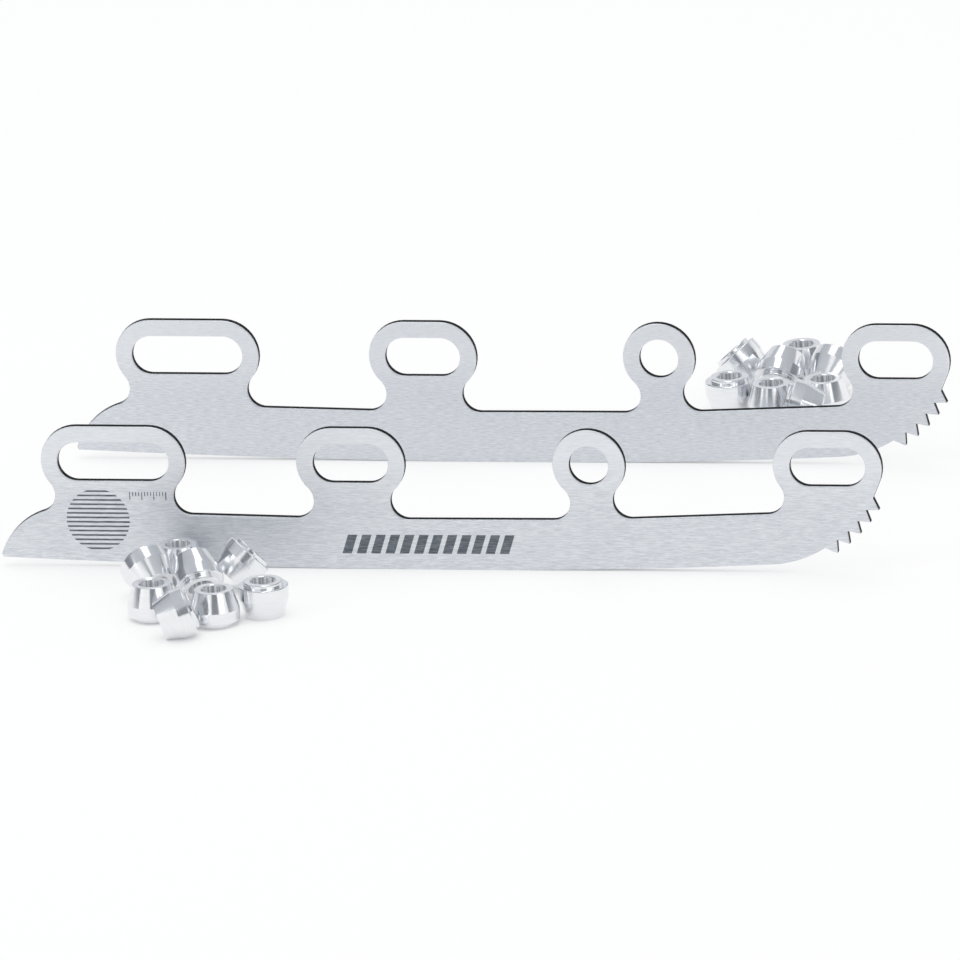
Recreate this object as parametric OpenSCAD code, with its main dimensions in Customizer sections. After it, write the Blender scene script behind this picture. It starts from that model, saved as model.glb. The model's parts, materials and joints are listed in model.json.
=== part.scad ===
// Ice conversion set for inline skates, laid out as a loose set on a flat surface. Two flat steel
// blades hang from a frame's axles in place of its wheels, and turned aluminium spacers, two to each
// axle, centre them there. The origin is the middle of the near blade's fixed axle seat, X points to
// the toe, Y to the far blade and Z up. All sizes are in millimetres.

/* [Fit to the skate frame] */
// Shortest wheelbase, first axle to last, that the slots take
wheelbase_min = 219; // [213:1:225]
// Longest wheelbase that the slots take
wheelbase_max = 255; // [249:1:261]
// Diameter of the frame's axles
axle_d = 8; // [6:0.5:8.5]
// Clear width between the frame's side walls
hub_w = 24; // [22:0.5:28]

/* [Blade] */
// Thickness of the steel sheet
blade_t = 3; // [2.5:0.1:4]
// Diameter of an axle seat, and width of a slot
seat_d = 13; // [12:0.5:14]
// Steel around each seat
ring_w = 5.5; // [4.5:0.5:7]
// Radius of the hollows where a tab meets the body
neck_r = 6; // [4:0.5:7]
// Depth of the body, from its upper edge to the running edge
body_h = 16.7; // [14:0.1:18]
// Height of the axle line over the lowest point of the running edge
axle_h = 35.8; // [34:0.1:38]
// How far behind the fixed seat the running edge is lowest
rocker_low = 45; // [35:1:55]
// Radius of the running edge behind its lowest point
rocker_rear_r = 3600; // [2800:50:4400]
// Radius of the running edge in front of its lowest point
rocker_front_r = 2000; // [1700:50:2600]

/* [Heel] */
// Radius of the rounded heel
heel_r = 23; // [21:0.5:25]
// How far the heel's arc centre lies behind the end of the rear slot
heel_back = 5; // [3:0.5:7]
// How far the heel's arc centre lies under the axle line
heel_drop = 38.9; // [37.5:0.1:40]
// Length taken off the sharp corner at the heel's tip
heel_break = 0.8; // [0.4:0.1:1.5]

/* [Toe pick] */
// Number of teeth
pick_teeth = 5; // [3:1:6]
// Radius of the circle that the tooth roots lie on
pick_r = 46.7; // [45:0.1:48]
// Depth of a tooth
pick_depth = 3.6; // [2.5:0.1:4.5]
// Angle from one tooth to the next
pick_step = 5.9; // [5:0.1:6.5]
// Angle of the uppermost root below the horizontal
pick_first = 29.8; // [28:0.1:32]
// How far the teeth's circle centre lies behind the end of the toe slot
pick_back = 32; // [31:0.5:33]
// How far the teeth's circle centre lies over the axle line
pick_up = 12.8; // [12:0.1:13.5]
// How far the straight run ends behind the toe slot
toe_back = 14.5; // [10:0.5:18]

/* [Spacer] */
// Diameter of the straight band
band_d = 16.4; // [15.5:0.1:18]
// Length of the straight band
band_l = 4.1; // [3:0.1:5]
// Diameter of the small end that meets the frame
tip_d = 12.4; // [11.5:0.1:13]
// Gap between a spigot and its seat, all round
spigot_gap = 0.05; // [0.03:0.01:0.15]
// Gap between an axle and the bore, all round
bore_gap = 0.05; // [0.03:0.01:0.15]
// Gap left between two spigots that meet inside one seat
spigot_meet = 0.2; // [0.1:0.05:0.5]
// Chamfer on the turned edges
edge_c = 0.3; // [0.15:0.05:0.4]

/* [Layout of the set] */
// Distance from the near blade to the far one
pair_gap = 113.7; // [100:0.1:150]
// Room between neighbouring spacers in a heap
heap_room = 0.6; // [0.4:0.1:2]
// Where the near heap's back row stands along the near blade
near_heap_x = -135.3; // [-160:0.1:60]
// Where the far heap stands along the far blade
far_heap_x = 27.8; // [-160:0.1:60]
// Room between the near heap's back row and the near blade
near_room = 3; // [0.4:0.1:8]
// How far behind the far blade its heap's front row stands
far_room = 21.6; // [15:0.1:40]

/* [Hidden] */
// Sides of a whole circle
$fn = 96;
// How far shapes reach into each other where they are joined
e = 2;
// How far the outlines that run into each other smoothly cross, so that they meet in one clean corner
meet = 0.01;
// Axles, counted from the fixed seat towards the toe, and spacers in a heap
AXLES = [-2, -1, 0, 1];
HEAP = 8;

// Seats: the axle spacing is set by the frame, so a slot's travel grows with its distance from the
// fixed seat.
axle_step = (wheelbase_min + wheelbase_max) / 6;
axle_travel = (wheelbase_max - wheelbase_min) / 3;
ring_r = seat_d / 2 + ring_w;
function seat_x(i) = i * axle_step;
function seat_half(i) = abs(i) * axle_travel / 2;
function tab_end(i, side) = [seat_x(i) + side * seat_half(i), 0];

// Running edge and the body's upper edge, which follows it in straight runs from axle to axle
function rocker_r(x) = x < -rocker_low ? rocker_rear_r : rocker_front_r;
function rocker(x) = rocker_r(x) - axle_h - sqrt(pow(rocker_r(x), 2) - pow(x + rocker_low, 2));
function upper(i) = [seat_x(i), rocker(seat_x(i)) + body_h];
function along(a, b, n) = [for (k = [0:n]) a + (b - a) * k / n];
function arc(c, r, a0, a1, n) = [for (a = along(a0, a1, n)) c + r * [cos(a), sin(a)]];

// Heel: an arc that runs down to the tip, and the hollow between it and the rear tab
heel_c = tab_end(-2, -1) - [heel_back, heel_drop];
heel_tip_a = 180 - asin((rocker(heel_c.x - heel_r) - heel_c.y) / heel_r);
heel_tip = heel_c + heel_r * [cos(heel_tip_a), sin(heel_tip_a)];
function touch(c1, d1, c2, d2) =
    let (v = c2 - c1, d = norm(v), a = (d1 * d1 - d2 * d2 + d * d) / (2 * d))
    c1 + a * v / d + sqrt(d1 * d1 - a * a) * [v.y, -v.x] / d;
heel_hollow = touch(tab_end(-2, -1), ring_r + neck_r - meet, heel_c, heel_r + neck_r - meet);
heel_top = heel_c + heel_r * (heel_hollow - heel_c) / norm(heel_hollow - heel_c);
heel_top_a = atan2(heel_top.y - heel_c.y, heel_top.x - heel_c.x);
heel_break_a = heel_break / heel_r * 180 / PI;
heel_inside_a = heel_top_a - 3;
heel_inside = heel_c + heel_r * [cos(heel_inside_a), sin(heel_inside_a)];

// Toe: teeth on a circle, with the running edge curving up to the lowest root
pick_c = tab_end(1, 1) + [-pick_back, pick_up];
function pick_at(step, r) =
    let (a = -pick_first - step * pick_step)
    pick_c + r * [cos(a), sin(a)];
pick_last = pick_at(pick_teeth, pick_r);
pick_top = pick_at(0, pick_r);
toe_x = tab_end(1, -1).x - toe_back;
toe_a = asin((toe_x + rocker_low) / rocker_front_r);
toe_start = [toe_x, rocker(toe_x)];
toe_ahead = [cos(toe_a), sin(toe_a)];
toe_run = pick_last - toe_start;
toe_turn = toe_start + toe_ahead * (toe_run * toe_run) / (2 * toe_run * toe_ahead);
function toe_at(t) = pow(1 - t, 2) * toe_start + 2 * t * (1 - t) * toe_turn + t * t * pick_last;
pick_top_v = pick_top - tab_end(1, 1);
pick_join_r = ring_r - meet;
pick_join_a = atan2(pick_top_v.y, pick_top_v.x) + acos(pick_join_r / norm(pick_top_v));
pick_join = tab_end(1, 1) + pick_join_r * [cos(pick_join_a), sin(pick_join_a)];

// Spacer: spigot, band and cone on one axis, from the spigot's end to the small end
spigot_l = (blade_t - spigot_meet) / 2;
spigot_r = seat_d / 2 - spigot_gap;
bore_r = axle_d / 2 + bore_gap;
cone_z = spigot_l + band_l;
spacer_l = spigot_l + (hub_w - blade_t) / 2;
cone_a = atan((band_d - tip_d) / 2 / (spacer_l - cone_z));

// The spacer's outside, as radius and place along the axis, and how high its middle is over the floor when
// its axis leans: its lowest edge touches down
SPACER_OUTSIDE = [
    [spigot_r - edge_c, 0],
    [spigot_r, edge_c],
    [spigot_r, spigot_l],
    [band_d / 2 - edge_c, spigot_l],
    [band_d / 2, spigot_l + edge_c],
    [band_d / 2, cone_z],
    [tip_d / 2, spacer_l],
];
function resting(lean) =
    max([for (p = SPACER_OUTSIDE) p[0] * cos(lean) - (p[1] - spacer_l / 2) * sin(lean)]);

// Heaps: places in steps of a spacer's diagonal, how far the small end leans up from the horizontal, and
// the way that it points. A spacer stands on its spigot or on its small end, lies on its cone, or leans.
STANDS = 90;
INVERTED = -90;
LIES = -cone_a;
spacer_step = norm([band_d, spacer_l]) + heap_room;
NEAR_HEAP = [
    [-0.28, -0.92, -37, -48],
    [0.00, 0.00, STANDS, 0],
    [0.52, -1.07, 40, 119],
    [1.10, -0.49, -42, -151],
    [0.01, -1.99, STANDS, 0],
    [0.60, -2.95, LIES, -161],
    [1.05, -2.24, STANDS, 0],
    [1.74, -1.80, INVERTED, 0],
];
FAR_HEAP = [
    [0.66, 2.02, -34, -113],
    [0.00, 2.85, STANDS, 0],
    [-0.12, 1.87, 38, 79],
    [-0.83, 2.28, -48, -8],
    [0.70, 1.08, STANDS, 0],
    [0.54, 0.25, LIES, 2],
    [-0.08, 0.83, STANDS, 0],
    [-0.82, 1.17, INVERTED, 0],
];
near_heap_at = [near_heap_x, -blade_t / 2 - near_room - band_d / 2];
far_heap_at = [far_heap_x, pair_gap + blade_t / 2 + far_room + band_d / 2];
floor_z = -axle_h;

module place(p) {
    translate(p) children();
}

// Steel between a tab and the body's straight upper edge, hollowed by a circle that touches both
module neck_side(i, side) {
    c = tab_end(i, side);
    a = upper(i);
    b = upper(i + side);
    m = (b.y - a.y) / (b.x - a.x);
    k = a.y - m * a.x + (neck_r - meet) * sqrt(1 + m * m);
    q = m * k - c.x;
    root = q * q - (1 + m * m) * (c.x * c.x + k * k - pow(ring_r + neck_r - meet, 2));
    fx = (side * sqrt(root) - q) / (1 + m * m);
    f = [fx, k + m * fx];
    foot = f + neck_r * [m, -1] / sqrt(1 + m * m);
    under = [c.x, a.y + m * (c.x - a.x) - e];
    difference() {
        polygon(side < 0 ? [c, f, foot, foot - [0, e], under] : [under, foot - [0, e], foot, f, c]);
        place(f) circle(neck_r);
    }
}

module heel_side() {
    c = tab_end(-2, -1);
    difference() {
        polygon([c, heel_hollow, heel_top, [c.x, upper(-2).y - e]]);
        place(heel_hollow) circle(neck_r);
    }
}

// A round-ended bar on the axle line: the outside of a tab, or the slot in it
module slot_shape(i, r) {
    for (side = i == 0 ? [1] : [-1, 1]) {
        place(tab_end(i, side)) circle(r);
    }
    if (seat_half(i) > 0) {
        place([seat_x(i), 0]) square([2 * seat_half(i), 2 * r], center = true);
    }
}

module body_shape() {
    polygon(concat(
        [heel_inside],
        arc(heel_c, heel_r, heel_top_a, heel_tip_a - heel_break_a, 16),
        [for (x = along(heel_tip.x + heel_break, -rocker_low, 16)) [x, rocker(x)]],
        [for (x = along(-rocker_low, toe_x, 12)) if (x > -rocker_low) [x, rocker(x)]],
        [for (t = along(0, 1, 12)) if (t > 0) toe_at(t)],
        [for (k = [pick_teeth - 1:-1:0], top = [0, 1])
            top == 0 ? pick_at(k + 0.5, pick_r + pick_depth) : pick_at(k, pick_r)],
        [pick_join, tab_end(1, 1)],
        [tab_end(1, -1), upper(1), upper(0), upper(-1), upper(-2)]
    ));
}

module blade_shape() {
    difference() {
        union() {
            body_shape();
            heel_side();
            for (i = AXLES) {
                slot_shape(i, ring_r);
                translate([seat_x(i) - seat_half(i) - e, upper(i).y - e])
                    square([2 * (seat_half(i) + e), -upper(i).y + e]);
            }
            for (i = [-2:0]) {
                neck_side(i, 1);
                neck_side(i + 1, -1);
            }
        }
        for (i = AXLES) {
            slot_shape(i, seat_d / 2);
        }
    }
}

module blade() {
    color("lightsteelblue")
        rotate([90, 0, 0])
            linear_extrude(blade_t, center = true)
                blade_shape();
}

module near_blade() {
    blade();
}

module far_blade() {
    translate([0, pair_gap, 0]) blade();
}

module spacer() {
    color("gainsboro")
        translate([0, 0, -spacer_l / 2])
            rotate_extrude()
                polygon(concat(
                    [[bore_r + edge_c, 0]],
                    SPACER_OUTSIDE,
                    [[bore_r + edge_c, spacer_l], [bore_r, spacer_l - edge_c], [bore_r, edge_c]]
                ));
}

// A spacer of a heap, set down on the floor the way its entry says
module set_down(heap, at) {
    lean = heap[2];
    translate([at.x + heap[0] * spacer_step, at.y + heap[1] * spacer_step, floor_z + resting(lean)])
        rotate([0, 90 - lean, heap[3]])
            spacer();
}

near_blade();
far_blade();
for (i = [1:HEAP]) {
    set_down(NEAR_HEAP[i - 1], near_heap_at);
    set_down(FAR_HEAP[i - 1], far_heap_at);
}
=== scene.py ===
"""An ice conversion set for inline skates: two flat steel blades and sixteen turned spacers, laid out on
a pale studio floor. X runs to the toe, Y to the far blade and Z up, in metres."""

import json
import math

import bpy
from mathutils import Matrix, Vector


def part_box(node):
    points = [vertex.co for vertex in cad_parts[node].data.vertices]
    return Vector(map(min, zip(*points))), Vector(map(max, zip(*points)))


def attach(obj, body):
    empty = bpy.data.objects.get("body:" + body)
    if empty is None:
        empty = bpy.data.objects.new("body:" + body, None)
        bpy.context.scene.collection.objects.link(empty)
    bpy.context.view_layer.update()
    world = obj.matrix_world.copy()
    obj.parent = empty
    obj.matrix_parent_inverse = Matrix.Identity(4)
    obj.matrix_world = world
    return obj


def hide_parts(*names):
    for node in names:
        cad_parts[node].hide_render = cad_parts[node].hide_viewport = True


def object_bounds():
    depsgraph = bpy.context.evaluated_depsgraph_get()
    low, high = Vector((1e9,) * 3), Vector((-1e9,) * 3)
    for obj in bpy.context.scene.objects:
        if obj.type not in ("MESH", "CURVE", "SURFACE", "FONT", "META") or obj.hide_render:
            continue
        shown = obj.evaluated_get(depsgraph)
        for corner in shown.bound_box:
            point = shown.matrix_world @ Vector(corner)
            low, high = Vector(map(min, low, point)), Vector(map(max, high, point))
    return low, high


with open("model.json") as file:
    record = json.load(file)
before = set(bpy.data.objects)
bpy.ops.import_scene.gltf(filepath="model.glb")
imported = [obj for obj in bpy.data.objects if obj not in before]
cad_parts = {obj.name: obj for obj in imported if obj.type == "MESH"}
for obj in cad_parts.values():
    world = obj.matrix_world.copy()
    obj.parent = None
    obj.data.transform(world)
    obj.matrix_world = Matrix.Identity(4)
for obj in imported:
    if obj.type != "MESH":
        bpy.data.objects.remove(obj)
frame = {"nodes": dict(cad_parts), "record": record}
cad_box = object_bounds()

# Blades
# Each is one piece of 3 mm hardened stainless sheet, cut out by laser. The faces are brushed along the
# blade, which also rounds their rims, the cut edges stay dark, and the running edge is ground sharp.
MM = 0.001
RIM_ROUND = 0.4 * MM
STEEL_LIGHT = "ECEFF3"
STEEL_DARK = "CCD0D6"
# A lighter tone that the face is mixed into towards the top, over the heights below.
STEEL_UPPER_TONE = "F6F8FB"
UPPER_TONE_SHARE = 0.5
UPPER_TONE_FROM_Z = -16 * MM
UPPER_TONE_TO_Z = 4 * MM
BRUSH_LENGTH = 2.8 * MM
BRUSH_WIDTH = 0.3 * MM
CUT_LIGHT = "191B1F"
CUT_DARK = "060708"
CUT_RIPPLE = 0.35 * MM
GROUND_LIGHT = "E6E9ED"
GROUND_DARK = "C8CCD2"


def linear(hex_colour):
    """An sRGB hex colour as linear red, green, blue and alpha."""
    values = [int(hex_colour[i : i + 2], 16) / 255 for i in (0, 2, 4)]
    return [v / 12.92 if v <= 0.04045 else ((v + 0.055) / 1.055) ** 2.4 for v in values] + [1]


def add_node(tree, kind, inputs=None, **settings):
    """A shader node with its settings, and values or links on its inputs."""
    made = tree.nodes.new(kind)
    for name, value in settings.items():
        setattr(made, name, value)
    for name, value in (inputs or {}).items():
        if isinstance(value, bpy.types.NodeSocket):
            tree.links.new(value, made.inputs[name])
        else:
            made.inputs[name].default_value = value
    return made


def new_material(name):
    """An empty material and its Principled shader."""
    material = bpy.data.materials.new(name)
    material.use_nodes = True
    return material, material.node_tree, material.node_tree.nodes["Principled BSDF"]


def only(obj):
    """Selects this object alone and makes it active."""
    bpy.ops.object.select_all(action="DESELECT")
    obj.select_set(True)
    bpy.context.view_layer.objects.active = obj


def apply_modifier(obj, kind, **settings):
    """Adds a modifier to an object and applies it."""
    only(obj)
    modifier = obj.modifiers.new(kind.title(), kind)
    for name, value in settings.items():
        setattr(modifier, name, value)
    bpy.ops.object.modifier_apply(modifier=modifier.name)


# Brushed stainless: short level scratches, a little lighter and darker, blur what the steel mirrors. They
# are drawn coarser than the real ones, so that they show. Towards the top the face is mixed into a lighter
# tone, which also leaves the scratches fainter there.
brushed_steel, tree, shader = new_material("brushed stainless steel")
coords = add_node(tree, "ShaderNodeTexCoord").outputs["Object"]
brush_scale = (1 / BRUSH_LENGTH, 1 / BRUSH_LENGTH, 1 / BRUSH_WIDTH)
stretched = add_node(tree, "ShaderNodeMapping", {"Vector": coords, "Scale": brush_scale})
scratches = add_node(
    tree,
    "ShaderNodeTexNoise",
    {"Vector": stretched.outputs["Vector"], "Scale": 1, "Detail": 3, "Roughness": 0.65},
)
tones = add_node(tree, "ShaderNodeValToRGB", {"Fac": scratches.outputs["Fac"]})
tones.color_ramp.elements[0].position = 0.3
tones.color_ramp.elements[0].color = linear(STEEL_DARK)
tones.color_ramp.elements[1].position = 0.7
tones.color_ramp.elements[1].color = linear(STEEL_LIGHT)
relief = add_node(
    tree,
    "ShaderNodeBump",
    {"Height": scratches.outputs["Fac"], "Strength": 0.25, "Distance": 0.02 * MM},
)
height = add_node(tree, "ShaderNodeSeparateXYZ", {"Vector": coords})
# Lighter towards the top: between these heights the face is mixed part way into the lighter tone.
upper_tone_ramp = add_node(
    tree,
    "ShaderNodeMapRange",
    {
        "Value": height.outputs["Z"],
        "From Min": UPPER_TONE_FROM_Z,
        "From Max": UPPER_TONE_TO_Z,
        "To Min": 0,
        "To Max": UPPER_TONE_SHARE,
    },
    interpolation_type="SMOOTHSTEP",
)
upper_toned = add_node(
    tree,
    "ShaderNodeMixRGB",
    {"Fac": upper_tone_ramp.outputs["Result"], "Color1": tones.outputs["Color"], "Color2": linear(STEEL_UPPER_TONE)},
)
tree.links.new(upper_toned.outputs["Color"], shader.inputs["Base Color"])
tree.links.new(relief.outputs["Normal"], shader.inputs["Normal"])
shader.inputs["Metallic"].default_value = 1
shader.inputs["Roughness"].default_value = 0.52

# Laser-cut edge: nearly black oxide, rippled across the sheet by the passing beam.
cut_steel, tree, shader = new_material("laser-cut steel edge")
coords = add_node(tree, "ShaderNodeTexCoord").outputs["Object"]
ripple_scale = (1 / CUT_RIPPLE, 0, 1 / CUT_RIPPLE)
stretched = add_node(tree, "ShaderNodeMapping", {"Vector": coords, "Scale": ripple_scale})
ripples = add_node(
    tree, "ShaderNodeTexNoise", {"Vector": stretched.outputs["Vector"], "Scale": 1, "Detail": 1}
)
tones = add_node(tree, "ShaderNodeValToRGB", {"Fac": ripples.outputs["Fac"]})
tones.color_ramp.elements[0].position = 0.35
tones.color_ramp.elements[0].color = linear(CUT_DARK)
tones.color_ramp.elements[1].position = 0.65
tones.color_ramp.elements[1].color = linear(CUT_LIGHT)
relief = add_node(
    tree,
    "ShaderNodeBump",
    {"Height": ripples.outputs["Fac"], "Strength": 0.5, "Distance": 0.05 * MM},
)
tree.links.new(tones.outputs["Color"], shader.inputs["Base Color"])
tree.links.new(relief.outputs["Normal"], shader.inputs["Normal"])
shader.inputs["Specular IOR Level"].default_value = 0.08
shader.inputs["Roughness"].default_value = 0.6

# Ground steel: the running edge is bright, with fine grinding lines along it.
ground_steel, tree, shader = new_material("ground steel edge")
coords = add_node(tree, "ShaderNodeTexCoord").outputs["Object"]
grind_scale = (1 / BRUSH_LENGTH, 1 / BRUSH_WIDTH, 1 / BRUSH_LENGTH)
stretched = add_node(tree, "ShaderNodeMapping", {"Vector": coords, "Scale": grind_scale})
grinding = add_node(
    tree, "ShaderNodeTexNoise", {"Vector": stretched.outputs["Vector"], "Scale": 1, "Detail": 2}
)
tones = add_node(tree, "ShaderNodeValToRGB", {"Fac": grinding.outputs["Fac"]})
tones.color_ramp.elements[0].position = 0.3
tones.color_ramp.elements[0].color = linear(GROUND_DARK)
tones.color_ramp.elements[1].position = 0.7
tones.color_ramp.elements[1].color = linear(GROUND_LIGHT)
relief = add_node(
    tree,
    "ShaderNodeBump",
    {"Height": grinding.outputs["Fac"], "Strength": 0.3, "Distance": 0.02 * MM},
)
tree.links.new(tones.outputs["Color"], shader.inputs["Base Color"])
tree.links.new(relief.outputs["Normal"], shader.inputs["Normal"])
shader.inputs["Metallic"].default_value = 1
shader.inputs["Roughness"].default_value = 0.28

# The CAD blade's triangles are merged into whole faces before the rims are rounded.
MERGE = 0.002 * MM
FLAT_WITHIN = math.radians(0.2)
SMOOTH_WITHIN = math.radians(20)
SIDE_NORMAL_Y = 0.2
GROUND_NORMAL_Z = -0.5
GROUND_TOP_Z = -26 * MM
BRUSHED, CUT, GROUND = range(3)
near_blade = bpy.data.objects.new("near_blade_finished", frame["nodes"]["near_blade"].data.copy())
bpy.context.scene.collection.objects.link(near_blade)
only(near_blade)
bpy.ops.object.mode_set(mode="EDIT")
bpy.ops.mesh.select_all(action="SELECT")
bpy.ops.mesh.remove_doubles(threshold=MERGE)
bpy.ops.mesh.dissolve_limited(angle_limit=FLAT_WITHIN)
bpy.ops.object.mode_set(mode="OBJECT")


def is_ground(face):
    """Whether a face is part of the running edge."""
    return face.normal.z < GROUND_NORMAL_Z and face.center.z < GROUND_TOP_Z


# A rim stays on one side of the sheet's middle. Those along the running edge aren't rounded.
steel = near_blade.data
sharp_edges = {key for face in steel.polygons if is_ground(face) for key in face.edge_keys}
rims = steel.attributes.new("bevel_weight_edge", "FLOAT", "EDGE")
for edge in steel.edges:
    start, end = (steel.vertices[i].co for i in edge.vertices)
    rims.data[edge.index].value = 1 if start.y * end.y > 0 and edge.key not in sharp_edges else 0
apply_modifier(near_blade, "BEVEL", width=RIM_ROUND, segments=2, limit_method="WEIGHT")
steel.materials.clear()
for material in (brushed_steel, cut_steel, ground_steel):
    steel.materials.append(material)
for face in steel.polygons:
    face.material_index = BRUSHED
    if abs(face.normal.y) < SIDE_NORMAL_Y:
        face.material_index = GROUND if is_ground(face) else CUT
only(near_blade)
bpy.ops.object.shade_smooth_by_angle(angle=SMOOTH_WITHIN)

far_blade = near_blade.copy()
far_blade.data = near_blade.data.copy()
far_blade.name = "far_blade_finished"
bpy.context.scene.collection.objects.link(far_blade)
far_blade.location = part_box("far_blade")[0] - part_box("near_blade")[0]
only(far_blade)
bpy.ops.object.transform_apply(location=True, rotation=True, scale=True)

# Etched marks
# Only the near blade carries marks, burnt a few hundredths of a millimetre into its outer face: a band
# of slanted bars, a round patch of level hatching and a short scale of ticks.
ETCH_LIGHT = "8A9098"
ETCH_DARK = "4E535B"
ETCH_DEPTH = 0.03 * MM
CUTTER_FRONT = 0.3 * MM
face_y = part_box("near_blade")[0].y
cutter_y = face_y + (ETCH_DEPTH - CUTTER_FRONT) / 2
cutter_t = ETCH_DEPTH + CUTTER_FRONT

# Burnt steel: the beam greys the brushed face, and the scratches still show through.
etched_steel, tree, shader = new_material("laser-etched steel")
coords = add_node(tree, "ShaderNodeTexCoord").outputs["Object"]
stretched = add_node(tree, "ShaderNodeMapping", {"Vector": coords, "Scale": brush_scale})
scratches = add_node(
    tree,
    "ShaderNodeTexNoise",
    {"Vector": stretched.outputs["Vector"], "Scale": 1, "Detail": 3, "Roughness": 0.65},
)
tones = add_node(tree, "ShaderNodeValToRGB", {"Fac": scratches.outputs["Fac"]})
tones.color_ramp.elements[0].position = 0.3
tones.color_ramp.elements[0].color = linear(ETCH_DARK)
tones.color_ramp.elements[1].position = 0.72
tones.color_ramp.elements[1].color = linear(ETCH_LIGHT)
tree.links.new(tones.outputs["Color"], shader.inputs["Base Color"])
shader.inputs["Metallic"].default_value = 0.7
shader.inputs["Roughness"].default_value = 0.6


def etch_block(name, x, z, width, height):
    """A block whose back end reaches the etching's depth, with its middle at x and z on the face."""
    bpy.ops.object.select_all(action="DESELECT")
    bpy.ops.mesh.primitive_cube_add(size=1, location=(x, cutter_y, z))
    block = bpy.context.active_object
    block.name = name
    block.scale = (width, cutter_t, height)
    bpy.ops.object.transform_apply(location=True, rotation=True, scale=True)
    return block


def lean(block, z, shift):
    """Moves what lies over z along the blade, so that an upright block slants."""
    only(block)
    bpy.ops.object.mode_set(mode="EDIT")
    bpy.ops.mesh.select_all(action="DESELECT")
    bpy.ops.object.mode_set(mode="OBJECT")
    for vertex in block.data.vertices:
        vertex.select = vertex.co.z > z
    bpy.ops.object.mode_set(mode="EDIT")
    bpy.ops.transform.translate(value=(shift, 0, 0))
    bpy.ops.object.mode_set(mode="OBJECT")


def row(block, count, step):
    """Repeats a block with a fixed step."""
    apply_modifier(
        block,
        "ARRAY",
        count=count,
        use_relative_offset=False,
        use_constant_offset=True,
        constant_offset_displace=step,
    )


BARS = 12
BAR_STEP = 4.75 * MM
BAR_RISE = 0.02 * MM
BAR_WIDTH = 3.1 * MM
BAR_HEIGHT = 6.4 * MM
BAR_SLANT = 2.2 * MM
first_bar_x, bar_z = -81.8 * MM, -27.3 * MM
bars = etch_block("bars", first_bar_x, bar_z, BAR_WIDTH, BAR_HEIGHT)
lean(bars, bar_z, BAR_SLANT)
row(bars, BARS, (BAR_STEP, 0, BAR_RISE))

PATCH_R = 10.5 * MM
PATCH_SIDES = 96
HATCH_STEP = 1.5 * MM
HATCH_LINE = 0.6 * MM
HATCHES = 14
patch_x, patch_z = -164 * MM, -19.7 * MM
first_z = patch_z - HATCH_STEP * (HATCHES - 1) / 2
hatch_length = 3 * PATCH_R
hatching = etch_block("hatching", patch_x, first_z, hatch_length, HATCH_LINE)
row(hatching, HATCHES, (0, 0, HATCH_STEP))
bpy.ops.object.select_all(action="DESELECT")
bpy.ops.mesh.primitive_cylinder_add(
    vertices=PATCH_SIDES,
    radius=PATCH_R,
    depth=2 * cutter_t,
    location=(patch_x, cutter_y, patch_z),
    rotation=(math.radians(90), 0, 0),
)
patch = bpy.context.active_object
apply_modifier(hatching, "BOOLEAN", operation="INTERSECT", solver="EXACT", object=patch)
bpy.data.objects.remove(patch)

TICK_STEP = 1 * MM
TICK_WIDTH = 0.28 * MM
TICK_HEIGHT = 1.4 * MM
TICKS = 13
LONG_EVERY = 4
first_tick_x, tick_z = -153 * MM, -10.8 * MM
short_ticks = etch_block("short ticks", first_tick_x, tick_z, TICK_WIDTH, TICK_HEIGHT)
row(short_ticks, TICKS, (TICK_STEP, 0, 0))
long_ticks = etch_block("long ticks", first_tick_x, tick_z - TICK_HEIGHT, TICK_WIDTH, TICK_HEIGHT)
row(long_ticks, 1 + TICKS // LONG_EVERY, (LONG_EVERY * TICK_STEP, 0, 0))

marks = bars
for cutter in (hatching, short_ticks, long_ticks):
    only(cutter)
    marks.select_set(True)
    bpy.context.view_layer.objects.active = marks
    bpy.ops.object.join()
marks.data.materials.clear()
marks.data.materials.append(etched_steel)
apply_modifier(
    near_blade,
    "BOOLEAN",
    operation="DIFFERENCE",
    solver="EXACT",
    material_mode="TRANSFER",
    object=marks,
)
bpy.data.objects.remove(marks)

for blade, node in ((near_blade, "near_blade"), (far_blade, "far_blade")):
    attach(blade, node)
    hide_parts(node)

# Spacers
# Sixteen alike, turned from aluminium bar on a lathe and bored for the axle: a short spigot that sits in
# a blade's seat, a straight band and a cone that meets the frame. Edges are broken with the tool.
ALUMINIUM_LIGHT = "F3F4F6"
ALUMINIUM_DARK = "EAECEF"
# Painted reflections in the bore: a light and a dark streak colour standing in for what the bore mirrors.
BORE_REFLECTED_LIGHT = "FEFEFE"
BORE_REFLECTED_DARK = "CCCFD4"
BORE_REFLECTION_STREAKS = 22
REFLECTION_DRIFT = 0.1
FEED = 0.3 * MM
FEED_CHANGES = 6
ACROSS_FEED = 0.25
TURNS = 96
BORE_R = 4.05 * MM
SPIGOT_R = 6.45 * MM
BAND_R = 8.2 * MM
TIP_R = 6.2 * MM
SPIGOT_L = 1.4 * MM
CONE_Z = 5.5 * MM
SPACER_L = 11.9 * MM
CHAMFER = 0.3 * MM
EDGE_ROUND = 0.1 * MM
EDGE_ANGLE = math.radians(12)

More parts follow.
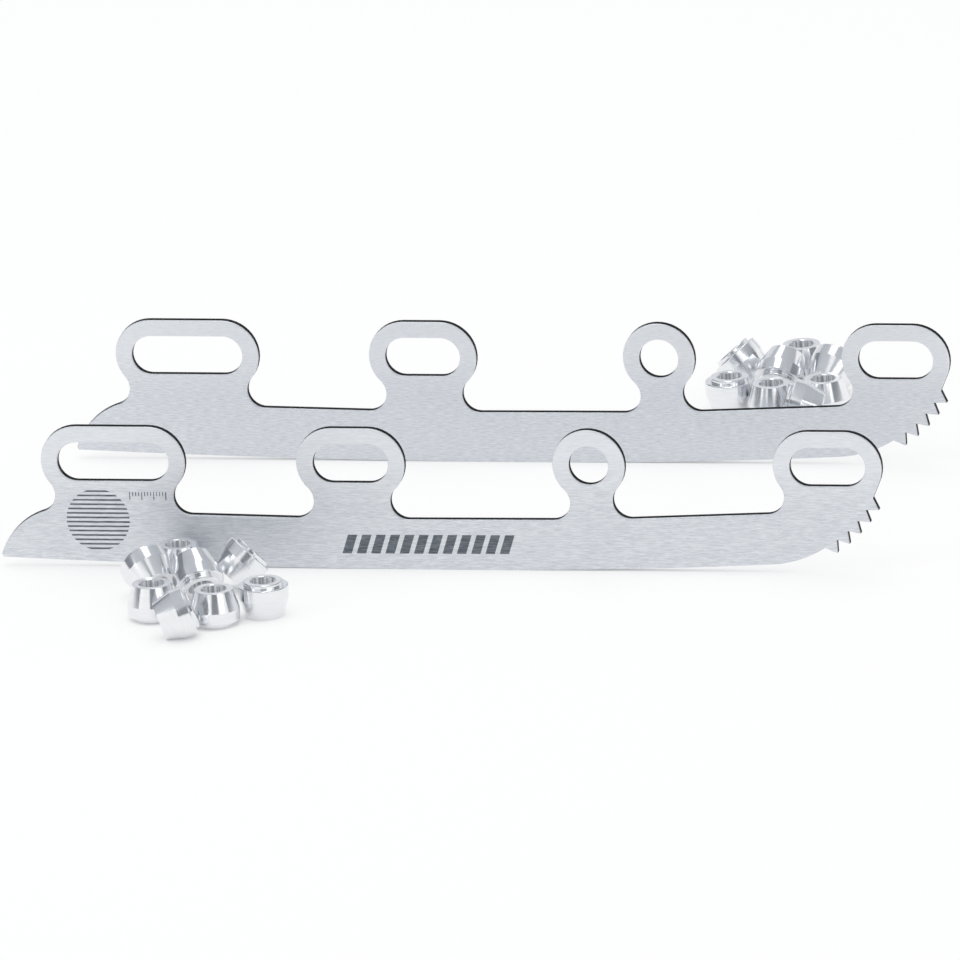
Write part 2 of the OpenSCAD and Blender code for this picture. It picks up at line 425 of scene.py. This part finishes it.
# Turned aluminium: fine feed lines round the axis draw each reflection out along the cone.
turned_aluminium, tree, shader = new_material("turned aluminium")
uv = add_node(tree, "ShaderNodeUVMap", uv_map="turning").outputs["UV"]
feed_scale = (FEED_CHANGES, 1 / FEED, 1)
stretched = add_node(tree, "ShaderNodeMapping", {"Vector": uv, "Scale": feed_scale})
feed = add_node(
    tree, "ShaderNodeTexNoise", {"Vector": stretched.outputs["Vector"], "Scale": 1, "Detail": 2}
)
tones = add_node(tree, "ShaderNodeValToRGB", {"Fac": feed.outputs["Fac"]})
tones.color_ramp.elements[0].position = 0.3
tones.color_ramp.elements[0].color = linear(ALUMINIUM_DARK)
tones.color_ramp.elements[1].position = 0.7
tones.color_ramp.elements[1].color = linear(ALUMINIUM_LIGHT)
tangent = add_node(tree, "ShaderNodeTangent", direction_type="UV_MAP", uv_map="turning")
tree.links.new(tones.outputs["Color"], shader.inputs["Base Color"])
tree.links.new(tangent.outputs["Tangent"], shader.inputs["Tangent"])
shader.inputs["Metallic"].default_value = 1
shader.inputs["Roughness"].default_value = 0.18
shader.inputs["Anisotropic"].default_value = 0.6
shader.inputs["Anisotropic Rotation"].default_value = ACROSS_FEED

# Bore: painted reflections, lengthwise light and dark streaks in its colour, in place of what it mirrors.
painted_bore, tree, shader = new_material("aluminium bore with painted reflections")
uv = add_node(tree, "ShaderNodeUVMap", uv_map="turning").outputs["UV"]
reflection_scale = (BORE_REFLECTION_STREAKS, REFLECTION_DRIFT / SPACER_L, 1)
stretched = add_node(tree, "ShaderNodeMapping", {"Vector": uv, "Scale": reflection_scale})
# Painted reflection: this streak pattern lightens and darkens the bore's colour.
painted_reflections = add_node(
    tree, "ShaderNodeTexNoise", {"Vector": stretched.outputs["Vector"], "Scale": 1, "Detail": 1}
)
tones = add_node(tree, "ShaderNodeValToRGB", {"Fac": painted_reflections.outputs["Fac"]})
tones.color_ramp.elements[0].position = 0.4
tones.color_ramp.elements[0].color = linear(BORE_REFLECTED_DARK)
tones.color_ramp.elements[1].position = 0.56
tones.color_ramp.elements[1].color = linear(BORE_REFLECTED_LIGHT)
tree.links.new(tones.outputs["Color"], shader.inputs["Base Color"])
shader.inputs["Metallic"].default_value = 1
shader.inputs["Roughness"].default_value = 0.9

profile = [
    (BORE_R + CHAMFER, 0),
    (SPIGOT_R - CHAMFER, 0),
    (SPIGOT_R, CHAMFER),
    (SPIGOT_R, SPIGOT_L),
    (BAND_R - CHAMFER, SPIGOT_L),
    (BAND_R, SPIGOT_L + CHAMFER),
    (BAND_R, CONE_Z),
    (TIP_R, SPACER_L),
    (BORE_R + CHAMFER, SPACER_L),
    (BORE_R, SPACER_L - CHAMFER),
    (BORE_R, CHAMFER),
    (BORE_R + CHAMFER, 0),
]
bpy.ops.object.select_all(action="DESELECT")
bpy.ops.mesh.primitive_circle_add(
    vertices=TURNS, radius=profile[0][0], location=(0, 0, profile[0][1] - SPACER_L / 2)
)
master = bpy.context.active_object
bpy.ops.object.transform_apply(location=True, rotation=True, scale=True)
bpy.ops.object.mode_set(mode="EDIT")
bpy.ops.mesh.select_all(action="SELECT")
for (r0, z0), (r1, z1) in zip(profile, profile[1:]):
    bpy.ops.mesh.extrude_edges_move(TRANSFORM_OT_translate={"value": (0, 0, z1 - z0)})
    bpy.ops.transform.resize(value=(r1 / r0, r1 / r0, 1), center_override=(0, 0, 0))
bpy.ops.mesh.select_all(action="SELECT")
bpy.ops.mesh.remove_doubles(threshold=MERGE)
bpy.ops.mesh.normals_make_consistent(inside=False)
bpy.ops.object.mode_set(mode="OBJECT")
apply_modifier(
    master,
    "BEVEL",
    width=EDGE_ROUND,
    segments=2,
    limit_method="ANGLE",
    angle_limit=EDGE_ANGLE,
)
only(master)
bpy.ops.object.shade_smooth_by_angle(angle=EDGE_ANGLE)
layer = master.data.uv_layers.new(name="turning")
for face in master.data.polygons:
    middle = math.atan2(face.center.y, face.center.x)
    for loop in face.loop_indices:
        point = master.data.vertices[master.data.loops[loop].vertex_index].co
        angle = math.atan2(point.y, point.x)
        angle += 2 * math.pi * round((middle - angle) / (2 * math.pi))
        radius = math.hypot(point.x, point.y)
        layer.data[loop].uv = (angle / (2 * math.pi), point.z - radius)
    in_bore = math.hypot(face.center.x, face.center.y) < BORE_R
    face.material_index = 1 if in_bore else 0
master.data.materials.append(turned_aluminium)
master.data.materials.append(painted_bore)

# The axis of every bore points up. In these spacers of a heap the cone's tip is the upper end.
TIP_UP = (2, 3, 5, 7)
SPACERS_IN_HEAP = 8
bores = {mount["name"]: mount for mount in frame["record"]["mounts"]}
for heap in ("near", "far"):
    for number in range(1, SPACERS_IN_HEAP + 1):
        node = f"{heap}_spacer_{number}"
        bore = bores[f"{node}_bore"]
        axis = Vector(bore["axis"])
        to_tip = axis if number in TIP_UP else -axis
        spacer = master.copy()
        spacer.data = master.data.copy()
        spacer.name = f"{node}_turned"
        bpy.context.scene.collection.objects.link(spacer)
        turn = Vector((0, 0, 1)).rotation_difference(to_tip).to_matrix().to_4x4()
        spacer.matrix_world = Matrix.Translation(bore["pos_m"]) @ turn
        only(spacer)
        bpy.ops.object.transform_apply(location=True, rotation=True, scale=True)
        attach(spacer, node)
        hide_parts(node)
bpy.data.objects.remove(master)

# Camera
# A long lens from a little above and to the right, rolled so that the blades lie level in the picture.
AZIMUTH = math.radians(12.9)
ELEVATION = math.radians(17.57)
ROLL = math.radians(3.5)
DISTANCE = 12
FIELD = 311.2 * MM
AIM = Vector((-36.5, 0, -5.6)) * MM
back = Vector(
    (
        math.sin(AZIMUTH) * math.cos(ELEVATION),
        -math.cos(AZIMUTH) * math.cos(ELEVATION),
        math.sin(ELEVATION),
    )
)
level = Vector((math.cos(AZIMUTH), math.sin(AZIMUTH), 0))
upright = back.cross(level)
right = math.cos(ROLL) * level - math.sin(ROLL) * upright
up = back.cross(right)
camera = bpy.data.objects.new("camera", bpy.data.cameras.new("camera"))
bpy.context.scene.collection.objects.link(camera)
facing = Matrix((right, up, back)).transposed().to_4x4()
camera.matrix_world = Matrix.Translation(AIM + back * DISTANCE) @ facing
camera.data.sensor_width = 36
camera.data.lens = camera.data.sensor_width * DISTANCE / FIELD
camera.data.clip_start = 0.1
camera.data.clip_end = 100
bpy.context.scene.camera = camera

# Studio
# A white table top under the set, a bright room round it, soft lamps overhead, and dark cards out of
# view that give the bright metal something to mirror.
FLOOR_COLOUR = "F4F5F6"
FLOOR_SIZE = 6
WHITE_SHARE = 0.72
SHADED_SHARE = 0.15
GAP_REACH = 16 * MM
GAP_CLOSED = 0.15
GAP_OPEN = 0.55
floor_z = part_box("near_blade")[0].z


def seen_rays(tree):
    """1 for what the camera sees straight, mirrored or through glass, and 0 for light on the pieces."""
    path = add_node(tree, "ShaderNodeLightPath").outputs
    mirrored = add_node(
        tree,
        "ShaderNodeMath",
        {0: path["Is Camera Ray"], 1: path["Is Glossy Ray"]},
        operation="MAXIMUM",
    )
    through = add_node(
        tree,
        "ShaderNodeMath",
        {0: mirrored.outputs[0], 1: path["Is Transmission Ray"]},
        operation="MAXIMUM",
    )
    return through.outputs[0]


# Matt white paint: nearly pure white in the open, with a faint shadow round each piece, and shaded where
# the spacers leave only narrow gaps.
floor_white, tree, shader = new_material("matt white table")
shader.inputs["Base Color"].default_value = linear(FLOOR_COLOUR)
shader.inputs["Roughness"].default_value = 0.9
shader.inputs["Specular IOR Level"].default_value = 0
openness = add_node(tree, "ShaderNodeAmbientOcclusion", {"Distance": GAP_REACH}, samples=4)
whitened = add_node(
    tree,
    "ShaderNodeMapRange",
    {
        "Value": openness.outputs["AO"],
        "From Min": GAP_CLOSED,
        "From Max": GAP_OPEN,
        "To Min": SHADED_SHARE,
        "To Max": WHITE_SHARE,
    },
)
share = add_node(
    tree,
    "ShaderNodeMath",
    {0: seen_rays(tree), 1: whitened.outputs["Result"]},
    operation="MULTIPLY",
)
white = add_node(tree, "ShaderNodeEmission", {"Color": (1, 1, 1, 1), "Strength": 1})
mixed = add_node(
    tree,
    "ShaderNodeMixShader",
    {0: share.outputs[0], 1: shader.outputs["BSDF"], 2: white.outputs["Emission"]},
)
tree.links.new(mixed.outputs["Shader"], tree.nodes["Material Output"].inputs["Surface"])
bpy.ops.object.select_all(action="DESELECT")
bpy.ops.mesh.primitive_plane_add(size=FLOOR_SIZE, location=(0, 0, floor_z))
floor = bpy.context.active_object
floor.name = "table"
floor.data.materials.append(floor_white)

DARK_CARD = "85898F"
GREY_CARD = "C9CCD0"
PALE_CARD = "E2E4E7"
CARD_FAR = 0.75
CARD_LOW = 0.06
CARD_TALL = 0.5
CEILING = 0.9
CEILING_SIZE = 1.2
CEILING_GAP = 0.3
# Each card's name, degrees from the camera's side, width in metres and paint.
CARDS = [
    ("front card", -4, 0.38, DARK_CARD),
    ("left card", -105, 1.3, DARK_CARD),
    ("right card", 80, 0.65, DARK_CARD),
    ("rear card", 180, 1.6, PALE_CARD),
]
middle = (cad_box[0] + cad_box[1]) / 2


def add_card(name, width, height, colour):
    """A painted board that shows only where the metal mirrors it."""
    board, _, paint = new_material(f"{name} paint")
    paint.inputs["Base Color"].default_value = linear(colour)
    paint.inputs["Roughness"].default_value = 1
    paint.inputs["Specular IOR Level"].default_value = 0
    bpy.ops.object.select_all(action="DESELECT")
    bpy.ops.mesh.primitive_plane_add(size=1)
    card = bpy.context.active_object
    card.name = name
    card.scale = (width, height, 1)
    card.data.materials.append(board)
    card.visible_camera = False
    card.visible_shadow = False
    card.visible_diffuse = False
    return card


for name, from_camera, width, colour in CARDS:
    a = AZIMUTH + math.radians(from_camera)
    card = add_card(name, width, CARD_TALL, colour)
    card.rotation_euler = (math.radians(90), 0, a)
    card.location = middle + CARD_FAR * Vector((math.sin(a), -math.cos(a), 0))
    card.location.z = floor_z + CARD_LOW + CARD_TALL / 2
for side, name in ((-1, "left ceiling card"), (1, "right ceiling card")):
    ceiling = add_card(name, CEILING_SIZE, 2 * CEILING_SIZE, GREY_CARD)
    ceiling.rotation_euler = (0, 0, AZIMUTH)
    ceiling.location = middle + side * level * (CEILING_SIZE + CEILING_GAP) / 2
    ceiling.location.z = floor_z + CEILING

# Each lamp's name, place in metres, width in metres and power in watts.
LAMPS = [
    ("overhead lamp", (-0.2, 0.2, 1.5), 1.4, 7),
    ("left lamp", (-1.3, -0.9, 0.9), 0.8, 3),
    ("right lamp", (1.2, -1.1, 0.8), 0.8, 2.5),
]
for name, place, size, power in LAMPS:
    bpy.ops.object.light_add(type="AREA", location=place)
    lamp = bpy.context.active_object
    lamp.name = name
    lamp.data.size = size
    lamp.data.energy = power
    lamp.rotation_euler = (middle - Vector(place)).to_track_quat("-Z", "Y").to_euler()

ROOM_LIGHT = 0.78
world = bpy.data.worlds.new("white studio")
bpy.context.scene.world = world
world.use_nodes = True
tree = world.node_tree
tree.nodes.clear()
room = add_node(tree, "ShaderNodeBackground", {"Color": (1, 1, 1, 1), "Strength": ROOM_LIGHT})
white = add_node(tree, "ShaderNodeBackground", {"Color": (1, 1, 1, 1), "Strength": 1})
mixed = add_node(
    tree,
    "ShaderNodeMixShader",
    {0: seen_rays(tree), 1: room.outputs[0], 2: white.outputs[0]},
)
add_node(tree, "ShaderNodeOutputWorld", {"Surface": mixed.outputs[0]})
bpy.context.scene.view_settings.view_transform = "Standard"
